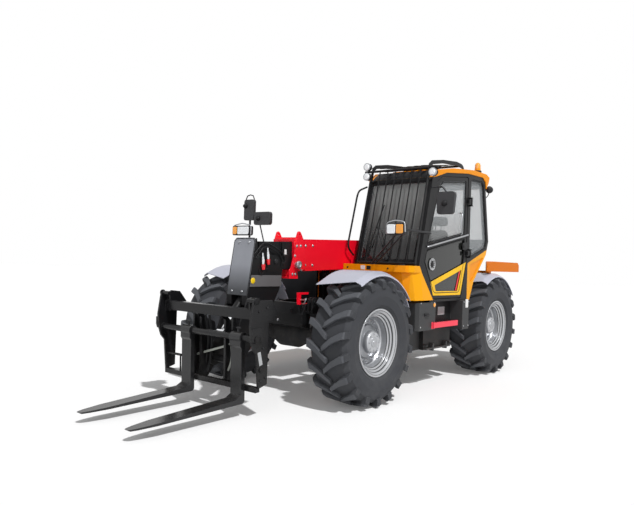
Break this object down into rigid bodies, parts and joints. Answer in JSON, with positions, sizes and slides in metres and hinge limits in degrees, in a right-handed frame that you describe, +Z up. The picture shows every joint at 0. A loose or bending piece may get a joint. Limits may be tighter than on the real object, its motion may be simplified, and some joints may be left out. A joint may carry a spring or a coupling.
{
  "type": "telehandler",
  "caption": "Four-wheel-steered telehandler with side cab, telescopic boom, tilting pallet-fork carriage, rear pivot and hub-mounted fenders.",
  "frame": {"origin": "on the ground under the middle of the machine's outline, forks included", "axes": "+X forwards, +Y to the machine's left, +Z up"},
  "size_m": [6.0597, 2.702, 2.7605],
  "materials": {
    "paint_red": "gloss",
    "paint_orange": "gloss",
    "paint_silver": "satin",
    "paint_black": "satin",
    "paint_grey": "satin",
    "cast_grey": "matte",
    "steel": "satin",
    "chromed": "polished",
    "tyre": "matte",
    "clear_glass": "gloss",
    "black_plastic": "matte",
    "lamp": "gloss",
    "seat_cloth": "matte"
  },
  "bodies": {
    "chassis": {"chassis_frame": "paint_black", "front_axle": "cast_grey", "rear_axle": "cast_grey", "driveline": "cast_grey", "counterweight": "cast_grey", "engine_block": "cast_grey", "cab_shell": "paint_black", "cab_roof": "paint_orange", "cab_glass": "clear_glass", "front_cowl": "paint_orange", "seat": "seat_cloth", "cab_controls": "black_plastic", "windscreen_guard": "paint_black", "side_box": "paint_grey", "rear_covers": "paint_orange", "lights": "lamp", "mirrors": "black_plastic"},
    "steering_front_left": {"knuckle_front_left": "cast_grey", "fender_front_left": "paint_silver"},
    "wheel_front_left": {"rim_front_left": "paint_silver", "tyre_front_left": "tyre"},
    "steering_front_right": {"knuckle_front_right": "cast_grey", "fender_front_right": "paint_silver"},
    "wheel_front_right": {"rim_front_right": "paint_silver", "tyre_front_right": "tyre"},
    "steering_rear_left": {"knuckle_rear_left": "cast_grey", "fender_rear_left": "paint_silver"},
    "wheel_rear_left": {"rim_rear_left": "paint_silver", "tyre_rear_left": "tyre"},
    "steering_rear_right": {"knuckle_rear_right": "cast_grey", "fender_rear_right": "paint_silver"},
    "wheel_rear_right": {"rim_rear_right": "paint_silver", "tyre_rear_right": "tyre"},
    "cab_door": {"door_frame": "paint_black", "door_glass": "clear_glass"},
    "hood": {"engine_hood": "paint_orange"},
    "boom": {"boom_outer": "paint_red"},
    "boom_extension": {"boom_inner": "paint_black"},
    "lift_barrel": {"lift_cylinder_barrel": "paint_black"},
    "lift_rod": {"lift_cylinder_rod": "chromed"},
    "tilt_barrel": {"tilt_cylinder_barrel": "paint_black"},
    "tilt_rod": {"tilt_cylinder_rod": "chromed"},
    "carriage": {"carriage": "paint_grey"},
    "fork_right": {"fork_right": "paint_black"},
    "fork_left": {"fork_left": "paint_black"}
  },
  "joints": [
    {"name": "front_left_steer", "type": "hinge", "parent": "chassis", "child": "steering_front_left", "pos_m": [0.72, 0.78, 0.628], "axis": [0, 0, 1], "range_deg": [-35, 35]},
    {"name": "front_left_roll", "type": "hinge", "parent": "steering_front_left", "child": "wheel_front_left", "pos_m": [0.72, 0.93, 0.628], "axis": [0, 1, 0], "continuous": true},
    {"name": "front_right_steer", "type": "hinge", "parent": "chassis", "child": "steering_front_right", "pos_m": [0.72, -0.78, 0.628], "axis": [0, 0, 1], "range_deg": [-35, 35]},
    {"name": "front_right_roll", "type": "hinge", "parent": "steering_front_right", "child": "wheel_front_right", "pos_m": [0.72, -0.93, 0.628], "axis": [0, 1, 0], "continuous": true},
    {"name": "rear_left_steer", "type": "hinge", "parent": "chassis", "child": "steering_rear_left", "pos_m": [-2.08, 0.78, 0.628], "axis": [0, 0, 1], "range_deg": [-35, 35]},
    {"name": "rear_left_roll", "type": "hinge", "parent": "steering_rear_left", "child": "wheel_rear_left", "pos_m": [-2.08, 0.93, 0.628], "axis": [0, 1, 0], "continuous": true},
    {"name": "rear_right_steer", "type": "hinge", "parent": "chassis", "child": "steering_rear_right", "pos_m": [-2.08, -0.78, 0.628], "axis": [0, 0, 1], "range_deg": [-35, 35]},
    {"name": "rear_right_roll", "type": "hinge", "parent": "steering_rear_right", "child": "wheel_rear_right", "pos_m": [-2.08, -0.93, 0.628], "axis": [0, 1, 0], "continuous": true},
    {"name": "door_swing", "type": "hinge", "parent": "chassis", "child": "cab_door", "pos_m": [-1.322, 1.08, 1.7], "axis": [0, 0, 1], "range_deg": [0, 95]},
    {"name": "hood_lift", "type": "hinge", "parent": "chassis", "child": "hood", "pos_m": [-0.68, -0.285, 1.44], "axis": [-1, 0, 0], "range_deg": [0, 60]},
    {"name": "boom_lift", "type": "hinge", "parent": "chassis", "child": "boom", "pos_m": [-2.33, 0, 1.58], "axis": [0, -1, 0], "range_deg": [0, 60]},
    {"name": "boom_extend", "type": "slide", "parent": "boom", "child": "boom_extension", "axis": [0.9992, 0, -0.0403], "range_m": [0, 2.6]},
    {"name": "lift_cylinder_swing", "type": "hinge", "parent": "chassis", "child": "lift_barrel", "pos_m": [-1.73, 0, 0.78], "axis": [0, -1, 0], "range_deg": [-1, 55.79]},
    {"name": "lift_cylinder_stroke", "type": "slide", "parent": "lift_barrel", "child": "lift_rod", "axis": [0.9452, 0, 0.3265], "range_m": [-0.005, 0.99206]},
    {"name": "tilt_cylinder_swing", "type": "hinge", "parent": "boom_extension", "child": "tilt_barrel", "pos_m": [1.18, 0, 1.38], "axis": [0, -1, 0], "range_deg": [-1.39, 1.05]},
    {"name": "tilt_cylinder_stroke", "type": "slide", "parent": "tilt_barrel", "child": "tilt_rod", "axis": [0.6202, 0, -0.7845], "range_m": [-0.05222, 0.35913]},
    {"name": "carriage_tilt", "type": "hinge", "parent": "boom_extension", "child": "carriage", "pos_m": [1.7, 0, 0.43], "axis": [0, -1, 0], "range_deg": [-90, 12]},
    {"name": "fork_right_slide", "type": "slide", "parent": "carriage", "child": "fork_right", "axis": [0, 1, 0], "range_m": [-0.28, 0.15]},
    {"name": "fork_left_slide", "type": "slide", "parent": "carriage", "child": "fork_left", "axis": [0, 1, 0], "range_m": [-0.34, 0.09]}
  ],
  "couplings": [
    {"joint": "front_right_steer", "follows": "front_left_steer", "ratio": 1},
    {"joint": "rear_right_steer", "follows": "rear_left_steer", "ratio": 1},
    {"joint": "lift_cylinder_swing", "follows": "boom_lift", "ratio": 0.91319},
    {"joint": "lift_cylinder_stroke", "follows": "boom_lift", "m_per_rad": 0.94258},
    {"joint": "tilt_cylinder_swing", "follows": "carriage_tilt", "ratio": 0.004294},
    {"joint": "tilt_cylinder_stroke", "follows": "carriage_tilt", "m_per_rad": -0.22545}
  ]
}
